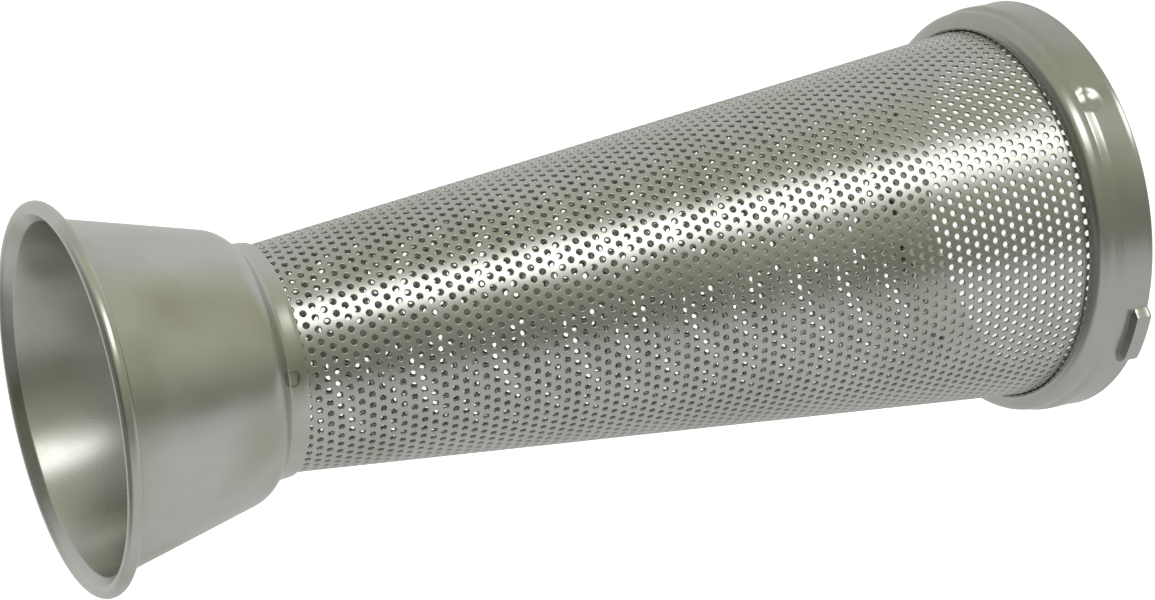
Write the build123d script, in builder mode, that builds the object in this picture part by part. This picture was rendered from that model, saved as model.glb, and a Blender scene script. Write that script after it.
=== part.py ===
"""Strainer screen of a tomato press: a perforated cone between an outlet funnel and a bayonet collar.

The screen stands on the collar's rear rim. The origin is the centre of that rim, +Z runs along the
axis to the outlet mouth, and -Y is the side that faces the camera. Millimetres throughout.
"""
import math
import os

from build123d import *

# Whole screen
overall_length = 208.0
screen_sheet = 0.6
formed_sheet = 0.7
weld_gap = 0.05
bend_steps = 3

# Bayonet collar, on its outer face, with heights counted down from its front
band_radius = 42.0
front_z = 12.3
front_corner = 2.8
flange_depth = 4.4
joggle_step = 0.7
joggle_drop = 3.5
joggle_run = 1.8
ring_radius = band_radius - joggle_step
ring_end_z = front_z - joggle_drop
band_start_z = ring_end_z - joggle_run
flange_end_z = front_z - flange_depth

# Bayonet lugs and detent dimples, each a pair half a turn apart
pair_count = 2
lug_angle = -132.0
lug_half_width = 9.0
lug_steep_ramp = 1.4
lug_gentle_ramp = 4.5
lug_lift = 1.7
lug_height = 3.0
slot_height = 4.2
window_reach = 2.0
strip_lap_angle = 0.4
dimple_angle = -62.3
dimple_z = 6.3
dimple_depth = 1.2
dimple_ball_radius = 4.0

# Perforated cone, on its outer face: it goes on inside the collar to the rear rim
seat_step = 4.43
cone_taper = 0.1046
cone_big_end_z = 0.0
seat_radius = band_radius - seat_step

# Outlet funnel, on its outer face: its neck fits the cone and the rest is counted out from the neck
funnel_length = 41.8
neck_height = 4.2
neck_flare = 0.35
neck_lap = 4.8
shoulder_start_step = 0.63
shoulder_start_rise = 1.2
shoulder_mid_step = 2.08
shoulder_mid_rise = 3.2
shoulder_end_step = 3.03
shoulder_end_rise = 6.2
body_step = 9.78
lip_rise = 5.0
bead_overhang = 3.85
bead_section_radius = 1.4
bead_sides = 12
neck_edge_z = overall_length - funnel_length
neck_start_z = neck_edge_z + neck_height
cone_small_end_z = neck_edge_z + neck_lap

# Perforation: the real sheet has 1.2 mm holes at 2.3 mm pitch, and here each hole stands for a patch
hole_pitch = 17.0
hole_share = 0.55
hole_sides = 6
punch_depth = 4.0
plain_margin = 9.2
hole_across_corners = hole_share * hole_pitch
first_row_z = front_z + plain_margin
last_row_z = neck_edge_z - plain_margin


def cone_radius(z: float) -> float:
    """Outer radius of the perforated cone at a height."""
    return seat_radius - cone_taper * (z - front_z)


def polar(radius: float, angle: float) -> tuple[float, float]:
    """Plan point at a radius and an angle in degrees from +X."""
    return radius * math.cos(math.radians(angle)), radius * math.sin(math.radians(angle))


def row_of_holes(z: float, shift: float) -> list[Location]:
    """Radial hole places round the cone at one height, evenly spaced at about the hole pitch."""
    count = round(2 * math.pi * cone_radius(z) / hole_pitch)
    step = 360.0 / count
    places = []
    for index in range(count):
        x, y = polar(cone_radius(z), (index + shift) * step)
        places.append(Plane(origin=(x, y, z), z_dir=(x, y, 0)).location)
    return places


def bend(radius: float, z: float, bend_radius: float, start: float, end: float) -> list[tuple[float, float]]:
    """Points round a bend in a sheet, as a few short flats."""
    turns = [start + (end - start) * step / bend_steps for step in range(bend_steps + 1)]
    return [(radius + polar(bend_radius, turn)[0], z + polar(bend_radius, turn)[1]) for turn in turns]


# Perforated cone: rolled sheet, its ends under the funnel's neck and inside the collar
row_count = round((last_row_z - first_row_z) / (hole_pitch * math.sin(math.radians(60)))) + 1
row_step = (last_row_z - first_row_z) / (row_count - 1)
hole_places = []
for row in range(row_count):
    hole_places += row_of_holes(first_row_z + row * row_step, 0.5 * (row % 2))

with BuildPart() as hole_punch:
    with BuildSketch():
        RegularPolygon(hole_across_corners / 2, hole_sides)
    extrude(amount=punch_depth, both=True)

with BuildPart() as perforated_cone:
    with BuildSketch(Plane.XZ):
        with BuildLine():
            Polyline(
                (cone_radius(cone_big_end_z), cone_big_end_z),
                (cone_radius(cone_small_end_z), cone_small_end_z),
                (cone_radius(cone_small_end_z) - screen_sheet, cone_small_end_z),
                (cone_radius(cone_big_end_z) - screen_sheet, cone_big_end_z),
                close=True,
            )
        make_face()
    revolve(axis=Axis.Z)
    with Locations(*hole_places):
        add(hole_punch.part, mode=Mode.SUBTRACT)
perforated_cone.part.label = "perforated_cone"

# Outlet funnel: neck sleeve, rounded shoulder, straight flare and a lip curled outward into a bead
neck_radius = cone_radius(neck_edge_z) + weld_gap + formed_sheet
neck_end_radius = neck_radius + neck_flare
body_end_radius = neck_end_radius + body_step
bead_centre_radius = body_end_radius + bead_overhang - bead_section_radius
bead_centre = (bead_centre_radius, overall_length - bead_section_radius)

with BuildPart() as outlet_funnel:
    with BuildSketch(Plane.XZ):
        with BuildLine():
            funnel_face = Polyline(
                (neck_radius, neck_edge_z),
                (neck_end_radius, neck_start_z),
                (neck_end_radius + shoulder_start_step, neck_start_z + shoulder_start_rise),
                (neck_end_radius + shoulder_mid_step, neck_start_z + shoulder_mid_rise),
                (neck_end_radius + shoulder_end_step, neck_start_z + shoulder_end_rise),
                (body_end_radius, overall_length - lip_rise),
                bead_centre,
            )
            offset(funnel_face, formed_sheet, side=Side.LEFT, kind=Kind.INTERSECTION)
        make_face()
        with Locations(bead_centre):
            RegularPolygon(bead_section_radius, bead_sides, rotation=180.0 / bead_sides, major_radius=False)
    revolve(axis=Axis.Z)
outlet_funnel.part.label = "outlet_funnel"

# Bayonet lug: the strip behind a lanced slot, pushed out with one gentle end and one steep end
band_middle = band_radius - formed_sheet / 2
lug_radius = band_middle + lug_lift
gentle_angle = -lug_half_width + lug_gentle_ramp
steep_angle = lug_half_width - lug_steep_ramp
window_inside = band_radius - window_reach
window_outside = band_radius + window_reach

with BuildSketch() as lug_window:
    with BuildLine():
        Line(polar(window_inside, -lug_half_width), polar(window_outside, -lug_half_width))
        CenterArc((0, 0), window_outside, -lug_half_width, 2 * lug_half_width)
        Line(polar(window_outside, lug_half_width), polar(window_inside, lug_half_width))
        CenterArc((0, 0), window_inside, -lug_half_width, 2 * lug_half_width)
    make_face()

with BuildSketch() as lug_strip:
    with BuildLine():
        Line(polar(band_middle, -lug_half_width - strip_lap_angle), polar(lug_radius, gentle_angle))
        CenterArc((0, 0), lug_radius, gentle_angle, steep_angle - gentle_angle)
        Line(polar(lug_radius, steep_angle), polar(band_middle, lug_half_width + strip_lap_angle))
    trace(line_width=formed_sheet)

# Detent dimple: the cup that a ball punch leaves inside the band
dimple_centre_radius = band_radius - formed_sheet - dimple_depth + dimple_ball_radius
with BuildPart() as dimple_cup:
    Sphere(dimple_ball_radius)
    with Locations((-dimple_centre_radius, 0, 0)):
        Cylinder(band_middle, 4 * dimple_ball_radius, mode=Mode.INTERSECT)

# Bayonet collar: flange on the cone, rounded front, joggled band, two lanced lugs and two dimples
with BuildPart() as bayonet_collar:
    with BuildSketch(Plane.XZ):
        with BuildLine():
            collar_face = Polyline(
                (band_radius, 0.0),
                (band_radius, band_start_z),
                (ring_radius, ring_end_z),
                *bend(ring_radius - front_corner, front_z - front_corner, front_corner, 0.0, 90.0),
                (cone_radius(front_z) + weld_gap, front_z),
                (cone_radius(flange_end_z) + weld_gap, flange_end_z),
            )
            offset(collar_face, formed_sheet, side=Side.LEFT, kind=Kind.INTERSECTION)
        make_face()
    revolve(axis=Axis.Z)
    with BuildSketch():
        with PolarLocations(0, pair_count, start_angle=lug_angle):
            add(lug_window.sketch)
    extrude(amount=slot_height, mode=Mode.SUBTRACT)
    with BuildSketch():
        with PolarLocations(0, pair_count, start_angle=lug_angle):
            add(lug_strip.sketch)
    extrude(amount=lug_height)
    with PolarLocations(dimple_centre_radius, pair_count, start_angle=dimple_angle):
        with Locations((0, 0, dimple_z)):
            add(dimple_cup.part)
            Sphere(dimple_ball_radius - formed_sheet, mode=Mode.SUBTRACT)
bayonet_collar.part.label = "bayonet_collar"

os.makedirs("parts", exist_ok=True)
export_step(perforated_cone.part, "parts/perforated_cone.step")
export_step(outlet_funnel.part, "parts/outlet_funnel.step")
export_step(bayonet_collar.part, "parts/bayonet_collar.step")
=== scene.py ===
"""Dress the strainer screen of a tomato press: perforated cone, outlet funnel and bayonet collar.

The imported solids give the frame. The three sheet pieces are modelled again here with their full
perforation, rolled edges and weld marks, and stand on the collar's rear rim as the solids do.
"""

import logging
import math
from dataclasses import dataclass
from enum import Enum

import bpy
import numpy as np
from mathutils import Matrix, Vector


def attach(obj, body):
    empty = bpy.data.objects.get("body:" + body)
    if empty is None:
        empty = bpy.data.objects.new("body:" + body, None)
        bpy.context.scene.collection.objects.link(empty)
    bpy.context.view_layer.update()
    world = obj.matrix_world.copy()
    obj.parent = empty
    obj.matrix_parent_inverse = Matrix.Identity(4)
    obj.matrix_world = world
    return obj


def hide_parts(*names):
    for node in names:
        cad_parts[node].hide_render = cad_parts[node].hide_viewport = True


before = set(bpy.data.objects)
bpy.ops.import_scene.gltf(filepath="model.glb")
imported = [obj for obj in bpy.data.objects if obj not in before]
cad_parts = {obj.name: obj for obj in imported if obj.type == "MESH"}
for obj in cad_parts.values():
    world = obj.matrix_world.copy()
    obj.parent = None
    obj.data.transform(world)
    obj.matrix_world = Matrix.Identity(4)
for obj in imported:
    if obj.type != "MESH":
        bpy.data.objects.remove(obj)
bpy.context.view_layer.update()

LOG = logging.getLogger("strainer_screen")
MM = 0.001
FULL_TURN = 2.0 * math.pi
PHOTO_WIDTH = 1155
# Attribute of the painted-shade mark, which darkens a finish's colour
PAINTED_SHADE_MARK = "shade_paint_mask"

Profile = list[tuple[float, float]]


class Slot(Enum):
    """Material slots of the record."""

    SCREEN = "screen_steel"
    FUNNEL = "funnel_steel"
    COLLAR = "collar_steel"


# Shaping helpers


def rounded(points: Profile, radii: list[float], steps: int = 10) -> Profile:
    """Round the inner corners of a polyline.

    Args:
        points: Corner points, radius and height.
        radii: Fillet radius at each inner corner.
        steps: Runs that each rounded corner is divided into.

    Returns:
        The points of the rounded line, in order.
    """
    line: Profile = [points[0]]
    for before, corner, after, radius in zip(points, points[1:], points[2:], radii):
        at = Vector(corner)
        back = (Vector(before) - at).normalized()
        ahead = (Vector(after) - at).normalized()
        half = back.angle(ahead) / 2.0
        centre = at + (back + ahead).normalized() * (radius / math.sin(half))
        start = at + back * (radius / math.tan(half)) - centre
        sweep = (at + ahead * (radius / math.tan(half)) - centre).angle_signed(start)
        for step in range(steps + 1):
            turned = start.copy()
            turned.rotate(Matrix.Rotation(sweep * step / steps, 2))
            line.append((centre.x + turned.x, centre.y + turned.y))
    line.append(points[-1])
    return line


def divided(line: Profile, longest: float) -> Profile:
    """Divide each run of a line so that none is longer than a limit.

    Args:
        line: Points of the line.
        longest: Longest run that may be left.

    Returns:
        The line with the points that were added.
    """
    fine: Profile = [line[0]]
    for start, end in zip(line, line[1:]):
        parts = max(1, math.ceil(math.dist(start, end) / longest))
        for part in range(1, parts + 1):
            share = part / parts
            fine.append(tuple(a + (b - a) * share for a, b in zip(start, end)))
    return fine


def deselect_all() -> None:
    """Leave nothing selected and no object in edit mode."""
    if bpy.context.object and bpy.context.object.mode != "OBJECT":
        bpy.ops.object.mode_set(mode="OBJECT")
    bpy.ops.object.select_all(action="DESELECT")


def apply_modifier(piece: bpy.types.Object, name: str, kind: str, **settings: object) -> None:
    """Add a modifier to a piece and apply it.

    Args:
        piece: Object that is changed.
        name: Modifier name.
        kind: Blender's type of modifier.
        **settings: Values set on the modifier.
    """
    modifier = piece.modifiers.new(name, kind)
    for key, value in settings.items():
        setattr(modifier, key, value)
    bpy.context.view_layer.objects.active = piece
    bpy.ops.object.modifier_apply(modifier=name)


def spun_sheet(name: str, line: Profile, segments: int) -> bpy.types.Object:
    """Spin a line round the Z axis into an open sheet.

    Args:
        name: Name of the new piece.
        line: Radius and height of each point, in metres.
        segments: Steps of the whole turn.

    Returns:
        The new object, selected and active.
    """
    deselect_all()
    mesh = bpy.data.meshes.new(name)
    mesh.from_pydata([(r, 0.0, z) for r, z in line], [(i, i + 1) for i in range(len(line) - 1)], [])
    piece = bpy.data.objects.new(name, mesh)
    bpy.context.collection.objects.link(piece)
    piece.select_set(True)
    bpy.context.view_layer.objects.active = piece
    bpy.ops.object.mode_set(mode="EDIT")
    bpy.ops.mesh.select_all(action="SELECT")
    bpy.ops.mesh.spin(steps=segments, angle=FULL_TURN, center=(0, 0, 0), axis=(0, 0, 1))
    bpy.ops.mesh.select_all(action="SELECT")
    bpy.ops.mesh.remove_doubles(threshold=0.01 * MM)
    bpy.ops.mesh.normals_make_consistent(inside=False)
    bpy.ops.object.mode_set(mode="OBJECT")
    return piece


def finish_sheet(piece: bpy.types.Object, thickness: float, edge: float) -> None:
    """Give an open sheet its thickness, eased edges and smooth shading.

    Args:
        piece: Open sheet on the middle of its wall.
        thickness: Wall thickness.
        edge: Width of the eased edges.
    """
    apply_modifier(piece, "wall", "SOLIDIFY", thickness=thickness, offset=0.0, use_even_offset=True)
    apply_modifier(
        piece, "edges", "BEVEL", width=edge, segments=2, limit_method="ANGLE", angle_limit=math.radians(60)
    )
    deselect_all()
    piece.select_set(True)
    bpy.context.view_layer.objects.active = piece
    bpy.ops.object.shade_smooth_by_angle(angle=math.radians(40))


def mark_inside(piece: bpy.types.Object, full_z: float, clear_z: float) -> None:
    """Mark the inner face of a spun sheet in an attribute that its finish reads as painted shade, darkening
    it.

    Args:
        piece: Finished sheet.
        full_z: Height below which the mark is full.
        clear_z: Height above which there is none.
    """
    mark = piece.data.attributes.new(PAINTED_SHADE_MARK, "FLOAT", "POINT")
    for vertex, value in zip(piece.data.vertices, mark.data):
        inward = vertex.normal.xy.dot(vertex.co.xy) < 0.0
        share = (clear_z - vertex.co.z) / (clear_z - full_z)
        value.value = max(0.0, min(1.0, share)) if inward else 0.0


# Finishes


class SheetEffects:
    """Shader node group shared by the steel finishes: mottled tone, tint patches, fine scratches and painted
    shade where the shade mark is set.
    """

    NAME = "steel_sheet_effects"

    def __init__(self) -> None:
        """Build the group once."""
        self.tree = bpy.data.node_groups.new(self.NAME, "ShaderNodeTree")
        self._sockets()
        self._nodes()

    def _sockets(self) -> None:
        face = self.tree.interface
        face.new_socket("Vector", in_out="INPUT", socket_type="NodeSocketVector")
        amounts = {"Mottle": 0.1, "Tint": 0.3, "Scratches": 0.2, "Rough": 0.2, "PaintedShade": 0.0}
        for name, value in amounts.items():
            socket = face.new_socket(name, in_out="INPUT", socket_type="NodeSocketFloat")
            socket.default_value = value
        for name, colour in (("Steel", (0.6, 0.6, 0.58, 1.0)), ("Stain", (0.45, 0.43, 0.33, 1.0))):
            socket = face.new_socket(name, in_out="INPUT", socket_type="NodeSocketColor")
            socket.default_value = colour
        face.new_socket("Color", in_out="OUTPUT", socket_type="NodeSocketColor")
        face.new_socket("Roughness", in_out="OUTPUT", socket_type="NodeSocketFloat")
        face.new_socket("Height", in_out="OUTPUT", socket_type="NodeSocketFloat")

    def _nodes(self) -> None:
        """Wire the noises, masks and mixes of the group."""
        nodes, links = self.tree.nodes, self.tree.links
        given = nodes.new("NodeGroupInput")
        put = nodes.new("NodeGroupOutput")

        def noise(scale: float, detail: float, squash: tuple[float, float, float]) -> bpy.types.NodeSocket:
            """Return the value of a noise on the piece, stretched along its axes."""
            mapping = nodes.new("ShaderNodeMapping")
            mapping.inputs["Scale"].default_value = squash
            links.new(given.outputs["Vector"], mapping.inputs["Vector"])
            texture = nodes.new("ShaderNodeTexNoise")
            texture.inputs["Scale"].default_value = scale
            texture.inputs["Detail"].default_value = detail
            links.new(mapping.outputs["Vector"], texture.inputs["Vector"])
            return texture.outputs["Fac"]

        def between(value: bpy.types.NodeSocket, low: float, high: float) -> bpy.types.NodeSocket:
            """Return a value stretched so that low becomes 0 and high becomes 1."""
            node = nodes.new("ShaderNodeMapRange")
            node.inputs["From Min"].default_value = low
            node.inputs["From Max"].default_value = high
            links.new(value, node.inputs["Value"])
            return node.outputs["Result"]

        def math_node(kind: str, first: object, second: object) -> bpy.types.NodeSocket:
            """Return the result of a math node on sockets or plain numbers."""
            node = nodes.new("ShaderNodeMath")
            node.operation = kind
            for socket, value in zip(node.inputs, (first, second)):
                if isinstance(value, (int, float)):
                    socket.default_value = value
                else:
                    links.new(value, socket)
            return node.outputs["Value"]

        cloud = noise(90.0, 3.0, (1.0, 1.0, 0.6))
        patch = between(noise(38.0, 2.0, (1.0, 1.0, 1.0)), 0.48, 0.72)
        hair = between(noise(900.0, 2.0, (1.0, 1.0, 0.06)), 0.58, 0.8)
        hoop = between(noise(700.0, 2.0, (0.06, 0.06, 1.0)), 0.55, 0.8)
        lines = math_node("MAXIMUM", hair, hoop)

        smudge = math_node("MULTIPLY", between(noise(170.0, 2.0, (1.0, 1.0, 0.7)), 0.66, 0.80), 0.7)

        stain = nodes.new("ShaderNodeMix")
        stain.data_type = "RGBA"
        dirt = math_node("MAXIMUM", patch, smudge)
        links.new(math_node("MULTIPLY", dirt, given.outputs["Tint"]), stain.inputs["Factor"])
        links.new(given.outputs["Steel"], stain.inputs[6])
        links.new(given.outputs["Stain"], stain.inputs[7])

        tone = math_node("MULTIPLY", math_node("SUBTRACT", cloud, 0.5), given.outputs["Mottle"])
        shade = nodes.new("ShaderNodeHueSaturation")
        links.new(stain.outputs[2], shade.inputs["Color"])
        # Painted shade: the colour is darkened where the painted-shade mark is set
        shade_darkening = math_node("MULTIPLY", given.outputs["PaintedShade"], -0.10)
        links.new(math_node("ADD", math_node("ADD", tone, 1.0), shade_darkening), shade.inputs["Value"])
        links.new(shade.outputs["Color"], put.inputs["Color"])

        worn = math_node("MULTIPLY", lines, given.outputs["Scratches"])
        rough = math_node("ADD", given.outputs["Rough"], math_node("MULTIPLY", worn, 0.3))
        rough = math_node("ADD", rough, math_node("MULTIPLY", tone, 0.6))
        rough = math_node("ADD", rough, math_node("MULTIPLY", given.outputs["PaintedShade"], 0.01))
        links.new(rough, put.inputs["Roughness"])
        links.new(math_node("MULTIPLY", worn, -1.0), put.inputs["Height"])


@dataclass(frozen=True)
class SteelFinish:
    """One stainless sheet finish."""

    slot: Slot
    steel: tuple[float, float, float]
    stain: tuple[float, float, float]
    rough: float
    mottle: float
    tint: float
    scratches: float
    bump: float
    suffix: str = ""

    def material(self, effects: SheetEffects) -> bpy.types.Material:
        """Build the material of this finish.

        Args:
            effects: Group of shared steel effects.

        Returns:
            The new material.
        """
        material = bpy.data.materials.new(self.slot.value + self.suffix)
        material.use_nodes = True
        nodes, links = material.node_tree.nodes, material.node_tree.links
        shader = nodes["Principled BSDF"]
        shader.inputs["Metallic"].default_value = 1.0
        place = nodes.new("ShaderNodeTexCoord")
        group = nodes.new("ShaderNodeGroup")
        group.node_tree = effects.tree
        links.new(place.outputs["Object"], group.inputs["Vector"])
        # Painted-shade mark, which darkens the colour
        mark = nodes.new("ShaderNodeAttribute")
        mark.attribute_name = PAINTED_SHADE_MARK
        links.new(mark.outputs["Fac"], group.inputs["PaintedShade"])
        group.inputs["Mottle"].default_value = self.mottle
        group.inputs["Tint"].default_value = self.tint
        group.inputs["Scratches"].default_value = self.scratches
        group.inputs["Rough"].default_value = self.rough
        group.inputs["Steel"].default_value = (*self.steel, 1.0)
        group.inputs["Stain"].default_value = (*self.stain, 1.0)
        links.new(group.outputs["Color"], shader.inputs["Base Color"])
        links.new(group.outputs["Roughness"], shader.inputs["Roughness"])
        bump = nodes.new("ShaderNodeBump")
        bump.inputs["Strength"].default_value = self.bump
        bump.inputs["Distance"].default_value = 0.02 * MM
        links.new(group.outputs["Height"], bump.inputs["Height"])
        links.new(bump.outputs["Normal"], shader.inputs["Normal"])
        return material


SCREEN_FINISH = SteelFinish(
    Slot.SCREEN, (0.60, 0.60, 0.585), (0.46, 0.455, 0.40), 0.25, 0.22, 0.40, 0.30, 0.30
)
FUNNEL_FINISH = SteelFinish(
    Slot.FUNNEL, (0.65, 0.65, 0.63), (0.45, 0.455, 0.36), 0.25, 0.30, 0.75, 0.06, 0.03
)
COLLAR_FINISH = SteelFinish(
    Slot.COLLAR, (0.55, 0.55, 0.53), (0.40, 0.40, 0.34), 0.22, 0.16, 0.60, 0.14, 0.05
)
WELD_FINISH = SteelFinish(
    Slot.FUNNEL, (0.30, 0.30, 0.25), (0.22, 0.22, 0.16), 0.36, 0.20, 0.60, 0.20, 0.20, "_weld"
)


def place_piece(piece: bpy.types.Object, slot: Slot, material: bpy.types.Material, *nodes: str) -> None:
    """Hand a finished piece to the frame.

    Args:
        piece: Finished object at the origin.
        slot: Record slot of its finish; not used.
        material: Material that it shows.
        *nodes: CAD nodes that it stands for.
    """
    piece.data.materials.clear()
    piece.data.materials.append(material)
    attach(piece, "root")
    if nodes:
        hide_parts(*nodes)
    LOG.info("%s: %d faces", piece.name, len(piece.data.polygons))


# Pieces


@dataclass
class ScreenCone:
    """Slim cone rolled from perforated sheet, in metres on its outer face."""

    seat_z: float = 12.0 * MM
    seat_radius: float = 37.6 * MM
    taper: float = 0.1046
    big_end_z: float = 0.07 * MM
    small_end_z: float = 171.0 * MM
    sheet: float = 0.6 * MM

    def radius(self, z: float) -> float:
        """Return the outer radius at a height."""
        return self.seat_radius - self.taper * (z - self.seat_z)

    @property
    def apex_z(self) -> float:
        """Height where the cone would come to a point."""
        return self.seat_z + self.seat_radius / self.taper

    @property
    def half_angle(self) -> float:
        """Angle between the axis and the wall."""
        return math.atan(self.taper)


@dataclass
class PerforatedSheet:
    """Perforation of the cone: a flat hexagonal pattern, cut as a sector and rolled up."""

    cone: ScreenCone
    pitch: float = 2.28 * MM
    hole_radius: float = 0.60 * MM
    rollover: float = 0.16 * MM
    first_hole_z: float = 9.0 * MM
    corners: int = 12
    bands: int = 4
    mid_azimuth: float = -87.2
    seam_half_width: float = 1.5 * MM

    def _centres(self) -> np.ndarray:
        """Return the hole centres of the flat pattern, a row each half hexagon, over the sector."""
        far = self._slant(self.cone.big_end_z) + self.pitch
        near = self._slant(self.cone.small_end_z) * math.cos(self._sector()) - self.pitch
        row_step = self.pitch * math.sqrt(3.0) / 2.0
        rows = np.arange(math.floor(near / row_step), math.ceil(far / row_step) + 1)
        reach = math.ceil(far * math.sin(self._sector()) / self.pitch) + 1
        across = np.arange(-reach, reach + 1)
        grid_x = (across[None, :] + 0.5 * (rows[:, None] % 2)) * self.pitch
        grid_y = np.repeat(rows[:, None] * row_step, len(across), axis=1)
        return np.stack([grid_x.ravel(), grid_y.ravel()], axis=1)

    def _slant(self, z: float) -> float:
        """Return the distance from the apex along the wall to a height."""
        return (self.cone.apex_z - z) / math.cos(self.cone.half_angle)

    def _sector(self) -> float:
        """Return half the angle of the flat sector."""
        return math.pi * math.sin(self.cone.half_angle)

    def _limits(self) -> tuple[float, float]:
        """Return the sector's nearest and farthest slant distance."""
        return self._slant(self.cone.small_end_z), self._slant(self.cone.big_end_z)

    def _clamp(self, flat: np.ndarray) -> np.ndarray:
        """Draw points of the flat pattern back to the sector's edges.

        Args:
            flat: Points of the flat pattern, last axis x and y.

        Returns:
            Slant distance and angle of each point, on the sector.
        """
        near, far = self._limits()
        slant = np.clip(np.hypot(flat[..., 0], flat[..., 1]), near, far)
        widest = self._sector() - self.seam_half_width / slant
        angle = np.clip(np.arctan2(flat[..., 0], flat[..., 1]), -widest, widest)
        return np.stack([slant, angle], axis=-1)

    def _roll(self, polar_points: np.ndarray, depth: float) -> tuple[np.ndarray, np.ndarray]:
        """Roll sector points onto the cone.

        Args:
            polar_points: Slant distance and angle of each point.
            depth: Distance below the outer face.

        Returns:
            Places in space, and the outward normal at each.
        """
        lean = self.cone.half_angle
        turn = polar_points[..., 1] / math.sin(lean) + math.radians(self.mid_azimuth)
        level = math.cos(lean)
        normal = np.stack(
            [level * np.cos(turn), level * np.sin(turn), np.full_like(turn, math.sin(lean))], axis=-1
        )
        radius = polar_points[..., 0] * math.sin(lean)
        height = self.cone.apex_z - polar_points[..., 0] * level
        place = np.stack([radius * np.cos(turn), radius * np.sin(turn), height], axis=-1)
        return place - depth * normal, normal

    def build(self) -> list[bpy.types.Object]:
        """Build the perforated wall in bands along the axis.

        Returns:
            One object for each band, from the large end to the small end.
        """
        centres = self._centres()
        turns = np.arange(self.corners) * FULL_TURN / self.corners
        reach = np.where(np.arange(self.corners) % 2 == 0, self.pitch / 2.0, self.pitch / math.sqrt(3.0))
        spokes = np.stack([np.cos(turns), np.sin(turns)], axis=1)
        edge = centres[:, None, :] + reach[:, None] * spokes
        near, far = self._limits()
        on_sector = self._clamp(edge)
        slack = np.ptp(on_sector[..., 0], axis=1) * np.ptp(on_sector[..., 1] * on_sector[..., 0], axis=1)
        kept = slack > (0.05 * MM) ** 2
        centres, on_sector = centres[kept], on_sector[kept]

        slant = np.hypot(centres[:, 0], centres[:, 1])
        angle = np.arctan2(centres[:, 0], centres[:, 1])
        room = self.hole_radius + self.rollover + 0.1 * MM
        open_cell = (slant > near + room) & (slant < self._slant(self.first_hole_z))
        open_cell &= np.abs(angle) * slant < self._sector() * slant - self.seam_half_width - room
        band_of = np.clip(((far - slant) / (far - near) * self.bands).astype(int), 0, self.bands - 1)
        pieces = []
        for index in range(self.bands):
            here = band_of == index
            pieces.append(self._band(index, centres[here], on_sector[here], open_cell[here], spokes))
        return pieces

    def _band(
        self, index: int, centres: np.ndarray, edge: np.ndarray, open_cell: np.ndarray, spokes: np.ndarray
    ) -> bpy.types.Object:
        """Build one band of cells as a closed wall.

        Args:
            index: Number of the band.
            centres: Flat centre of each cell.
            edge: Sector points round each cell.
            open_cell: Whether each cell has its hole.
            spokes: Unit directions of the points round a cell.

        Returns:
            The new object.
        """
        n = self.corners
        keys = np.round(edge.reshape(-1, 2) / np.array([1e-7, 1e-6])).astype(np.int64)
        _, first, shared = np.unique(keys, axis=0, return_index=True, return_inverse=True)
        ring = shared.reshape(-1, n)
        rim_points = edge.reshape(-1, 2)[first]
        rim_top, rim_normal = self._roll(rim_points, 0.0)
        rim_under, _ = self._roll(rim_points, self.cone.sheet)
        rim_count = len(first)

        holes = centres[open_cell]
        solid = self._clamp(centres[~open_cell])
        solid_top, solid_normal = self._roll(solid, 0.0)
        solid_under, _ = self._roll(solid, self.cone.sheet)

        places = [rim_top, rim_under, solid_top, solid_under]
        normals = [rim_normal, -rim_normal, solid_normal, -solid_normal]
        levels = (
            (self.hole_radius + self.rollover, 0.0, 1.0, 0.0),
            (self.hole_radius, self.rollover, 0.5, 1.0),
            (self.hole_radius, self.cone.sheet, -0.2, 1.0),
        )
        middle = np.repeat(self._roll(self._clamp(holes), self.cone.sheet / 2)[0][:, None, :], n, axis=1)
        for radius, depth, facing, inward in levels:
            flat = holes[:, None, :] + radius * spokes
            place, normal = self._roll(self._clamp(flat), depth)
            to_middle = middle - place
            to_middle -= np.sum(to_middle * normal, axis=-1, keepdims=True) * normal
            to_middle /= np.linalg.norm(to_middle, axis=-1, keepdims=True)
            mixed = facing * normal + inward * to_middle
            places.append(place.reshape(-1, 3))
            normals.append((mixed / np.linalg.norm(mixed, axis=-1, keepdims=True)).reshape(-1, 3))

        solid_at = 2 * rim_count + np.arange(len(solid))
        level_at = 2 * rim_count + 2 * len(solid) + np.arange(len(holes) * n).reshape(-1, n)
        level_step = len(holes) * n
        top, under = ring[open_cell], ring[open_cell] + rim_count
        lip, throat, exit_rim = level_at, level_at + level_step, level_at + 2 * level_step
        quads = [
            self._strip(top, lip), self._strip(lip, throat), self._strip(throat, exit_rim),
            self._strip(exit_rim, under),
        ]
        faces = np.concatenate(quads).tolist()
        plain = ring[~open_cell]
        for offset, flip in ((0, False), (1, True)):
            hub = np.repeat((solid_at + offset * len(solid))[:, None], n, axis=1)
            outer, after = plain + offset * rim_count, np.roll(plain, -1, axis=1) + offset * rim_count
            fan = np.stack([hub, outer, after] if flip else [hub, after, outer], axis=-1).reshape(-1, 3)
            faces += fan[(fan[:, 1] != fan[:, 2])].tolist()
        faces += self._edge_wall(ring, rim_count)

        mesh = bpy.data.meshes.new(f"perforated_band_{index + 1}")
        clean = [face for face in (self._without_repeats(face) for face in faces) if len(face) > 2]
        mesh.from_pydata(np.concatenate(places).tolist(), [], clean)
        mesh.polygons.foreach_set("use_smooth", [True] * len(mesh.polygons))
        mesh.normals_split_custom_set_from_vertices(np.concatenate(normals).tolist())
        piece = bpy.data.objects.new(mesh.name, mesh)
        bpy.context.collection.objects.link(piece)
        return piece

    @staticmethod
    def _strip(first: np.ndarray, second: np.ndarray) -> np.ndarray:
        """Return the quads between two rings of each cell."""
        quads = [second, np.roll(second, -1, axis=1), np.roll(first, -1, axis=1), first]
        return np.stack(quads, axis=-1).reshape(-1, 4)

    @staticmethod
    def _without_repeats(face: list[int]) -> list[int]:
        """Return a face with neighbouring repeats of a point taken out."""
        return [at for i, at in enumerate(face) if at != face[i - 1]]

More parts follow.
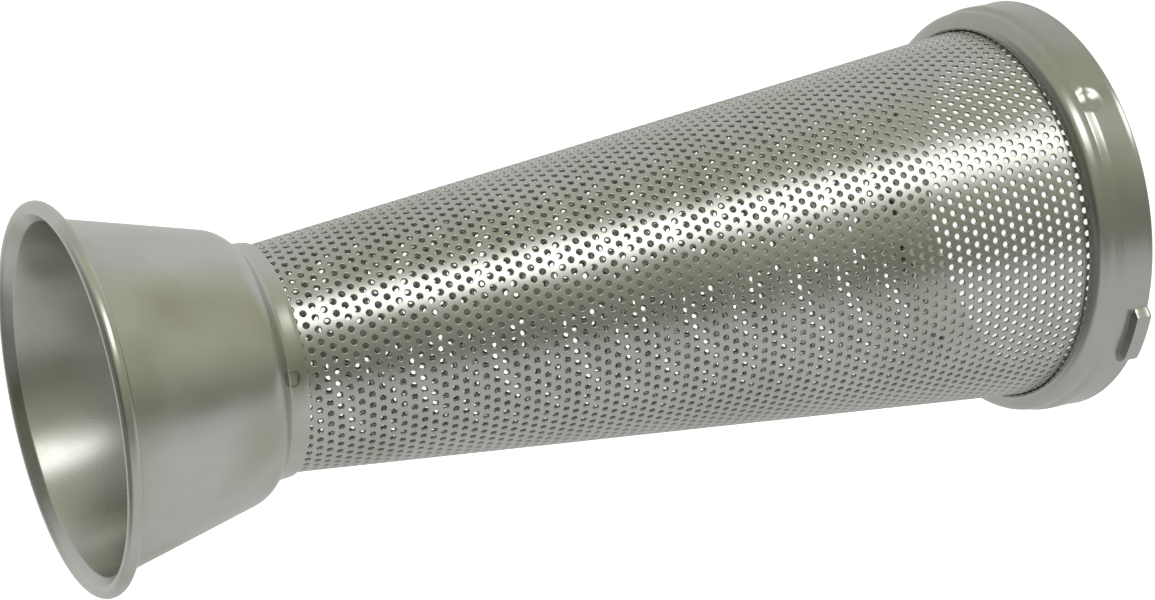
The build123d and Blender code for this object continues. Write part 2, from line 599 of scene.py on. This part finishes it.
    @staticmethod
    def _edge_wall(ring: np.ndarray, rim_count: int) -> list[list[int]]:
        """Close the sheet's thickness along the edges that only one cell uses.

        Args:
            ring: Points round each cell.
            rim_count: Offset from an outer point to the inner point below it.

        Returns:
            One quad for each open edge.
        """
        start, end = ring.ravel(), np.roll(ring, -1, axis=1).ravel()
        real = start != end
        start, end = start[real], end[real]
        key = np.minimum(start, end) * np.int64(rim_count) + np.maximum(start, end)
        _, back, uses = np.unique(key, return_inverse=True, return_counts=True)
        alone = uses[back] == 1
        open_edges = zip(start[alone].tolist(), end[alone].tolist())
        return [[a, b, b + rim_count, a + rim_count] for a, b in open_edges]


@dataclass
class SeamWeld:
    """Plain welded seam along the back of the cone."""

    cone: ScreenCone
    azimuth: float = 92.8
    width: float = 3.4 * MM
    proud: float = 0.06 * MM
    short: float = 0.1 * MM

    def build(self) -> bpy.types.Object:
        """Shape a bar with eased edges and lean it into the cone's wall.

        Returns:
            The new object.
        """
        low, high = self.cone.big_end_z + self.short, self.cone.small_end_z - self.short
        length = (high - low) / math.cos(self.cone.half_angle)
        deselect_all()
        bpy.ops.mesh.primitive_cube_add(size=1.0)
        bar = bpy.context.object
        bar.name = bar.data.name = "seam_weld"
        bar.scale = (self.cone.sheet + 2 * self.proud, self.width, length)
        bpy.ops.object.transform_apply(location=False, rotation=False, scale=True)
        bpy.ops.object.mode_set(mode="EDIT")
        bpy.ops.mesh.select_all(action="SELECT")
        bpy.ops.mesh.bevel(offset=0.1 * MM, segments=2)
        bpy.ops.object.mode_set(mode="OBJECT")
        middle = (low + high) / 2
        depth = self.cone.radius(middle) - self.cone.sheet / 2
        bar.data.transform(Matrix.Rotation(-self.cone.half_angle, 4, "Y"))
        bar.data.transform(Matrix.Translation((depth, 0, middle)))
        bar.data.transform(Matrix.Rotation(math.radians(self.azimuth), 4, "Z"))
        bpy.ops.object.shade_smooth_by_angle(angle=math.radians(40))
        return bar


@dataclass
class OutletFunnel:
    """Spun funnel: neck sleeve, rounded shoulder, straight flare and beaded lip."""

    cone: ScreenCone
    sheet: float = 0.7 * MM
    weld_gap: float = 0.05 * MM
    neck_edge_z: float = 169.0 * MM
    neck_start_z: float = 172.8 * MM
    neck_flare: float = 0.35 * MM
    neck_fillet: float = 2.0 * MM
    shoulder_z: float = 175.4 * MM
    shoulder_radius: float = 25.3 * MM
    shoulder_fillet: float = 7.0 * MM
    body_end_z: float = 205.8 * MM
    body_end_radius: float = 33.05 * MM
    lip_fillet: float = 0.6 * MM
    mouth_z: float = 208.0 * MM
    bead_outer_radius: float = 36.2 * MM
    bead_section_radius: float = 1.4 * MM
    bead_wrap: float = 285.0
    segments: int = 256

    def _line(self) -> Profile:
        """Return the middle line of the sheet, from the neck's edge round the curled lip."""
        half = self.sheet / 2
        neck = self.cone.radius(self.neck_edge_z) + self.weld_gap + half
        bead = self.bead_section_radius
        centre = Vector((self.bead_outer_radius - bead, self.mouth_z - bead))
        curl = self.bead_section_radius - half
        lip = Vector((self.body_end_radius - half, self.body_end_z))
        reach = centre - lip
        start = math.atan2(reach.y, reach.x) + math.asin(curl / reach.length) + math.pi / 2
        joint = centre + curl * Vector((math.cos(start), math.sin(start)))
        corners = [
            (neck, self.neck_edge_z),
            (neck + self.neck_flare, self.neck_start_z),
            (self.shoulder_radius - half, self.shoulder_z),
            tuple(lip),
            tuple(joint),
        ]
        line = rounded(corners, [self.neck_fillet, self.shoulder_fillet, self.lip_fillet])
        steps = 28
        for step in range(1, steps + 1):
            turn = start - math.radians(self.bead_wrap) * step / steps
            line.append((centre.x + curl * math.cos(turn), centre.y + curl * math.sin(turn)))
        return divided(line, 1.5 * MM)

    def build(self) -> bpy.types.Object:
        """Spin the funnel and give it its wall.

        Returns:
            The new object.
        """
        piece = spun_sheet("outlet_funnel_sheet", self._line(), self.segments)
        finish_sheet(piece, self.sheet, 0.1 * MM)
        # Painted shade: the funnel's inner face below the lip is darkened in colour
        mark_inside(piece, self.body_end_z, self.body_end_z + 1.4 * MM)
        return piece


@dataclass
class SpotWelds:
    """Round electrode marks of the spot welds that hold the funnel's neck on the cone."""

    funnel: OutletFunnel
    first_azimuth: float = -98.2
    count: int = 3
    height: float = 172.0 * MM
    ring_radius: float = 1.3 * MM
    ring_section: float = 0.3 * MM
    flatness: float = 0.4

    def build(self) -> bpy.types.Object:
        """Lay flattened rings on the neck and join them.

        Returns:
            The new object.
        """
        rise = (self.height - self.funnel.neck_edge_z) / (self.funnel.neck_start_z - self.funnel.neck_edge_z)
        neck = self.funnel.cone.radius(self.funnel.neck_edge_z) + self.funnel.weld_gap + self.funnel.sheet
        distance = neck + self.funnel.neck_flare * rise
        deselect_all()
        rings = []
        for index in range(self.count):
            bpy.ops.mesh.primitive_torus_add(
                major_radius=self.ring_radius,
                minor_radius=self.ring_section,
                major_segments=32,
                minor_segments=10,
            )
            ring = bpy.context.object
            turn = math.radians(self.first_azimuth + index * 360.0 / self.count)
            ring.data.transform(Matrix.Diagonal((1.0, 1.0, self.flatness, 1.0)))
            ring.data.transform(Matrix.Rotation(math.pi / 2, 4, "Y"))
            ring.data.transform(Matrix.Translation((distance, 0.0, self.height)))
            ring.data.transform(Matrix.Rotation(turn, 4, "Z"))
            rings.append(ring)
        deselect_all()
        for ring in rings:
            ring.select_set(True)
        bpy.context.view_layer.objects.active = rings[0]
        bpy.ops.object.join()
        marks = bpy.context.object
        marks.name = marks.data.name = "spot_weld_marks"
        bpy.ops.object.shade_smooth()
        return marks


@dataclass
class BayonetCollar:
    """Pressed collar: flange, rounded front, joggled band, raised lugs and pressed dimples."""

    cone: ScreenCone
    sheet: float = 0.7 * MM
    weld_gap: float = 0.05 * MM
    flange_end_z: float = 7.9 * MM
    front_z: float = 11.95 * MM
    ring_radius: float = 41.0 * MM
    groove_radius: float = 40.85 * MM
    groove_z: float = 8.1 * MM
    band_start_z: float = 6.9 * MM
    band_radius: float = 41.5 * MM
    edge_radius: float = 41.65 * MM
    edge_z: float = 0.9 * MM
    rim_z: float = 0.07 * MM
    front_bend: float = 0.3 * MM
    front_corner: float = 2.4 * MM
    joggle_fillet: float = 1.0 * MM
    lug_angle: float = -132.0
    lug_half_width: float = 9.0
    lug_steep_ramp: float = 1.4
    lug_gentle_ramp: float = 4.5
    lug_run_on: float = 1.5
    lug_lift: float = 1.7 * MM
    lug_height: float = 3.0 * MM
    wall_top_z: float = 4.2 * MM
    # Strength of the painted shade on the lugs' upper walls
    wall_painted_shade: float = 4.5
    dimple_angle: float = -62.3
    dimple_z: float = 6.3 * MM
    dimple_depth: float = 0.55 * MM
    dimple_radius: float = 2.8 * MM
    pair_count: int = 2
    segments: int = 480

    def _line(self) -> Profile:
        """Return the middle line of the sheet, from the flange's end to the rear rim."""
        seat = self.weld_gap + self.sheet / 2
        corners = [
            (self.cone.radius(self.flange_end_z) + seat, self.flange_end_z),
            (self.cone.radius(self.front_z) + seat, self.front_z),
            (self.ring_radius, self.front_z),
            (self.groove_radius, self.groove_z),
            (self.band_radius, self.band_start_z),
            (self.band_radius, self.wall_top_z),
        ]
        line = rounded(
            corners, [self.front_bend, self.front_corner, self.joggle_fillet, self.joggle_fillet]
        )
        line += [
            (self.band_radius, self.lug_height),
            (self.band_radius, self.edge_z),
            (self.edge_radius, self.rim_z),
        ]
        return divided(line, 0.5 * MM)

    def _lift(self, degrees: float) -> float:
        """Return how far a lug stands out at an angle from its middle."""
        gentle = (degrees + self.lug_half_width + self.lug_run_on) / self.lug_gentle_ramp
        steep = (self.lug_half_width - degrees) / self.lug_steep_ramp
        share = max(0.0, min(1.0, steep, gentle))
        return self.lug_lift * share * share * (3.0 - 2.0 * share)

    def _raise_lug(self, piece: bpy.types.Object, middle: float) -> None:
        """Push the strip of one lug outward, with a steep wall up to the band.

        Args:
            piece: Open sheet of the collar.
            middle: Angle of the lug's middle.
        """
        for vertex in piece.data.vertices:
            if vertex.co.z <= self.lug_height + 0.01 * MM:
                lift = self._lift(self._from(vertex.co, middle))
                vertex.co.xy += vertex.co.xy.normalized() * lift

    def _mark_walls(self, piece: bpy.types.Object) -> None:
        """Mark the upper walls of the lugs for painted shade, where little light falls.

        Args:
            piece: Finished collar.
        """
        mark = piece.data.attributes.new(PAINTED_SHADE_MARK, "FLOAT", "POINT")
        for vertex, value in zip(piece.data.vertices, mark.data):
            span = 360.0 / self.pair_count
            degrees = (self._from(vertex.co, self.lug_angle) + span / 2) % span - span / 2
            raised = self._lift(degrees) > 0.3 * self.lug_lift
            if raised and vertex.normal.z > 0.2 and vertex.co.z < self.wall_top_z:
                # Painted shade: the lug's upper wall is strongly darkened in colour
                value.value = self.wall_painted_shade

    def _press(self, piece: bpy.types.Object, middle: float) -> None:
        """Press one dimple into the band.

        Args:
            piece: Open sheet of the collar.
            middle: Angle of the dimple's middle.
        """
        for vertex in piece.data.vertices:
            if vertex.co.xy.length < self.ring_radius - self.sheet:
                continue
            around = math.radians(self._from(vertex.co, middle)) * self.band_radius
            away = math.hypot(around, vertex.co.z - self.dimple_z) / self.dimple_radius
            if away < 1.0:
                vertex.co.xy -= vertex.co.xy.normalized() * self.dimple_depth * (1.0 - away**3) ** 2

    @staticmethod
    def _from(point: Vector, middle: float) -> float:
        """Return the angle in degrees from a middle direction to a point."""
        return (math.degrees(math.atan2(point.y, point.x)) - middle + 180.0) % 360.0 - 180.0

    def build(self) -> bpy.types.Object:
        """Spin the collar, raise the lugs, press the dimples and give it its wall.

        Returns:
            The new object.
        """
        piece = spun_sheet("bayonet_collar_sheet", self._line(), self.segments)
        for index in range(self.pair_count):
            turn = index * 360.0 / self.pair_count
            self._raise_lug(piece, self.lug_angle + turn)
            self._press(piece, self.dimple_angle + turn)
        finish_sheet(piece, self.sheet, 0.1 * MM)
        # Painted shade on the lugs' upper walls
        self._mark_walls(piece)
        return piece


# Stage

PALE, OLIVE = (1.0, 0.995, 0.965), (1.0, 1.01, 0.80)

# Upright panels of the studio: degrees round from the camera's side, level and tint
PANELS = (
    (-180.0, 0.64, PALE), (-144.0, 0.64, PALE), (-112.0, 0.64, PALE), (-96.0, 0.62, PALE),
    (-80.0, 0.55, OLIVE), (-64.0, 0.49, OLIVE), (-30.0, 0.50, OLIVE), (-16.0, 0.45, OLIVE),
    (0.0, 0.37, OLIVE), (14.0, 0.27, OLIVE), (29.0, 0.25, OLIVE), (37.0, 0.48, PALE),
    (50.0, 0.61, PALE), (128.0, 0.59, PALE), (150.0, 0.55, PALE), (180.0, 0.64, PALE),
)


@dataclass
class Studio:
    """Pale floor, soft studio light and the camera of the photograph."""

    eye: tuple[float, float, float] = (0.00003, -0.55472, 0.36011)
    aim: tuple[float, float, float] = (0.00071, 0.0, 0.1039)
    roll: float = -101.53
    focal_pixels: float = 3182.0
    shift_pixels: tuple[float, float] = (-1.5, -8.0)
    sensor: float = 36.0
    turn: float = 2.8
    floor_size: float = 6.0
    floor_glow: float = 0.86
    lamp_place: tuple[float, float, float] = (-0.5, -0.3, 1.1)
    lamp_size: float = 0.9
    lamp_power: float = 6.0
    facing: float = -87.2
    streak: float = -33.8
    streak_strength: float = 3.4
    streak_edges: tuple[float, float] = (16.5, 1.0)
    streak_foot: tuple[float, float] = (-0.52, -0.36)
    streak_head: tuple[float, float] = (0.42, 0.24)
    overhead_edges: tuple[float, float] = (0.58, 0.84)
    overhead_level: float = 0.35

    def _camera(self) -> None:
        """Place the camera at the photograph's viewing angle, with its roll."""
        data = bpy.data.cameras.new("photo_camera")
        data.sensor_width = self.sensor
        data.lens = self.focal_pixels / PHOTO_WIDTH * self.sensor
        data.clip_start = 0.01
        data.shift_x, data.shift_y = (part / PHOTO_WIDTH for part in self.shift_pixels)
        camera = bpy.data.objects.new("photo_camera", data)
        bpy.context.collection.objects.link(camera)
        look = (Vector(self.aim) - Vector(self.eye)).to_track_quat("-Z", "Y").to_matrix().to_4x4()
        roll = Matrix.Rotation(math.radians(self.roll), 4, "Z")
        turn = Matrix.Rotation(math.radians(self.turn), 4, "Z")
        camera.matrix_world = turn @ Matrix.Translation(self.eye) @ look @ roll
        bpy.context.scene.camera = camera

    def _floor(self) -> None:
        """Lay a pale floor that keeps a soft shadow."""
        deselect_all()
        bpy.ops.mesh.primitive_plane_add(size=self.floor_size, location=(0, 0, -0.02 * MM))
        floor = bpy.context.object
        floor.name = "studio_floor"
        floor.visible_glossy = False
        material = bpy.data.materials.new("pale_floor")
        material.use_nodes = True
        nodes, links = material.node_tree.nodes, material.node_tree.links
        nodes.clear()
        path = nodes.new("ShaderNodeLightPath")
        matt = nodes.new("ShaderNodeBsdfDiffuse")
        matt.inputs["Color"].default_value = (0.8, 0.8, 0.8, 1.0)
        glow = nodes.new("ShaderNodeEmission")
        glow.inputs["Strength"].default_value = self.floor_glow
        both = nodes.new("ShaderNodeAddShader")
        pick = nodes.new("ShaderNodeMixShader")
        put = nodes.new("ShaderNodeOutputMaterial")
        links.new(matt.outputs[0], both.inputs[0])
        links.new(glow.outputs[0], both.inputs[1])
        links.new(path.outputs["Is Camera Ray"], pick.inputs["Fac"])
        links.new(matt.outputs[0], pick.inputs[1])
        links.new(both.outputs[0], pick.inputs[2])
        links.new(pick.outputs[0], put.inputs["Surface"])
        floor.data.materials.append(material)

    def _lamp(self) -> None:
        """Hang a large soft lamp over the floor."""
        data = bpy.data.lights.new("soft_lamp", "AREA")
        data.shape = "DISK"
        data.size = self.lamp_size
        data.energy = self.lamp_power
        lamp = bpy.data.objects.new("soft_lamp", data)
        lamp.location = self.lamp_place
        lamp.rotation_euler = (-lamp.location).to_track_quat("-Z", "Y").to_euler()
        lamp.visible_glossy = False
        bpy.context.collection.objects.link(lamp)

    def _world(self) -> None:
        """Light the metal with a studio of soft upright panels, and show white to the camera."""
        world = bpy.data.worlds.new("studio_world")
        bpy.context.scene.world = world
        world.use_nodes = True
        nodes, links = world.node_tree.nodes, world.node_tree.links
        nodes.clear()
        place = nodes.new("ShaderNodeTexCoord")
        turned = nodes.new("ShaderNodeMapping")
        turned.inputs["Rotation"].default_value = (0.0, 0.0, math.radians(-self.facing))
        links.new(place.outputs["Generated"], turned.inputs["Vector"])
        axes = nodes.new("ShaderNodeSeparateXYZ")
        links.new(turned.outputs["Vector"], axes.inputs[0])

        def math_node(kind: str, first: object, second: object = 0.0) -> bpy.types.NodeSocket:
            """Return the result of a math node on sockets or plain numbers."""
            node = nodes.new("ShaderNodeMath")
            node.operation = kind
            for socket, value in zip(node.inputs, (first, second)):
                if isinstance(value, (int, float)):
                    socket.default_value = value
                else:
                    links.new(value, socket)
            return node.outputs["Value"]

        def eased(
            value: bpy.types.NodeSocket, low: float, high: float, start: float = 0.0, end: float = 1.0
        ) -> bpy.types.NodeSocket:
            """Return a smooth step from start at low to end at high."""
            node = nodes.new("ShaderNodeMapRange")
            node.interpolation_type = "SMOOTHSTEP"
            links.new(value, node.inputs["Value"])
            node.inputs["From Min"].default_value = low
            node.inputs["From Max"].default_value = high
            node.inputs["To Min"].default_value = start
            node.inputs["To Max"].default_value = end
            return node.outputs["Result"]

        around = math_node("MULTIPLY", math_node("ARCTAN2", axes.outputs["Y"], axes.outputs["X"]), -1.0)
        share = math_node("ADD", math_node("DIVIDE", around, FULL_TURN), 0.5)
        ramp = nodes.new("ShaderNodeValToRGB")
        ramp.color_ramp.interpolation = "LINEAR"
        links.new(share, ramp.inputs["Fac"])
        stops = ramp.color_ramp.elements
        while len(stops) < len(PANELS):
            stops.new(0.5)
        for stop, (degrees, level, tint) in zip(stops, PANELS):
            stop.position = (degrees + 180.0) / 360.0
            stop.color = (*(level * part for part in tint), 1.0)

        off = math_node("ABSOLUTE", math_node("SUBTRACT", around, math.radians(self.streak)))
        narrow = eased(off, *(math.radians(edge) for edge in self.streak_edges))
        foot, head = (eased(axes.outputs["Z"], *ends) for ends in (self.streak_foot, self.streak_head))
        height = math_node("MULTIPLY", foot, head)
        strip = math_node("MULTIPLY", narrow, height)
        overhead = eased(axes.outputs["Z"], *self.overhead_edges, 1.0, self.overhead_level)

        panel_light = nodes.new("ShaderNodeBackground")
        links.new(overhead, panel_light.inputs["Strength"])
        links.new(ramp.outputs["Color"], panel_light.inputs["Color"])
        strip_light = nodes.new("ShaderNodeBackground")
        links.new(math_node("MULTIPLY", strip, self.streak_strength), strip_light.inputs["Strength"])
        both = nodes.new("ShaderNodeAddShader")
        links.new(panel_light.outputs[0], both.inputs[0])
        links.new(strip_light.outputs[0], both.inputs[1])
        white = nodes.new("ShaderNodeBackground")
        path = nodes.new("ShaderNodeLightPath")
        pick = nodes.new("ShaderNodeMixShader")
        links.new(path.outputs["Is Camera Ray"], pick.inputs["Fac"])
        links.new(both.outputs[0], pick.inputs[1])
        links.new(white.outputs[0], pick.inputs[2])
        put = nodes.new("ShaderNodeOutputWorld")
        links.new(pick.outputs[0], put.inputs["Surface"])

    def build(self) -> None:
        """Set up the floor, the light, the camera and the plain view transform."""
        self._camera()
        self._floor()
        self._lamp()
        self._world()
        bpy.context.scene.view_settings.view_transform = "Standard"


def main() -> None:
    """Build the finishes, the pieces and the stage."""
    logging.basicConfig(level=logging.INFO, format="%(name)s: %(message)s")
    effects = SheetEffects()
    screen = SCREEN_FINISH.material(effects)
    cone = ScreenCone()
    for band in PerforatedSheet(cone).build():
        place_piece(band, Slot.SCREEN, screen, "perforated_cone")
    place_piece(SeamWeld(cone).build(), Slot.SCREEN, screen)
    funnel = OutletFunnel(cone)
    place_piece(funnel.build(), Slot.FUNNEL, FUNNEL_FINISH.material(effects), "outlet_funnel")
    place_piece(SpotWelds(funnel).build(), Slot.FUNNEL, WELD_FINISH.material(effects))
    place_piece(BayonetCollar(cone).build(), Slot.COLLAR, COLLAR_FINISH.material(effects), "bayonet_collar")
    Studio().build()


if __name__ == "__main__":
    main()
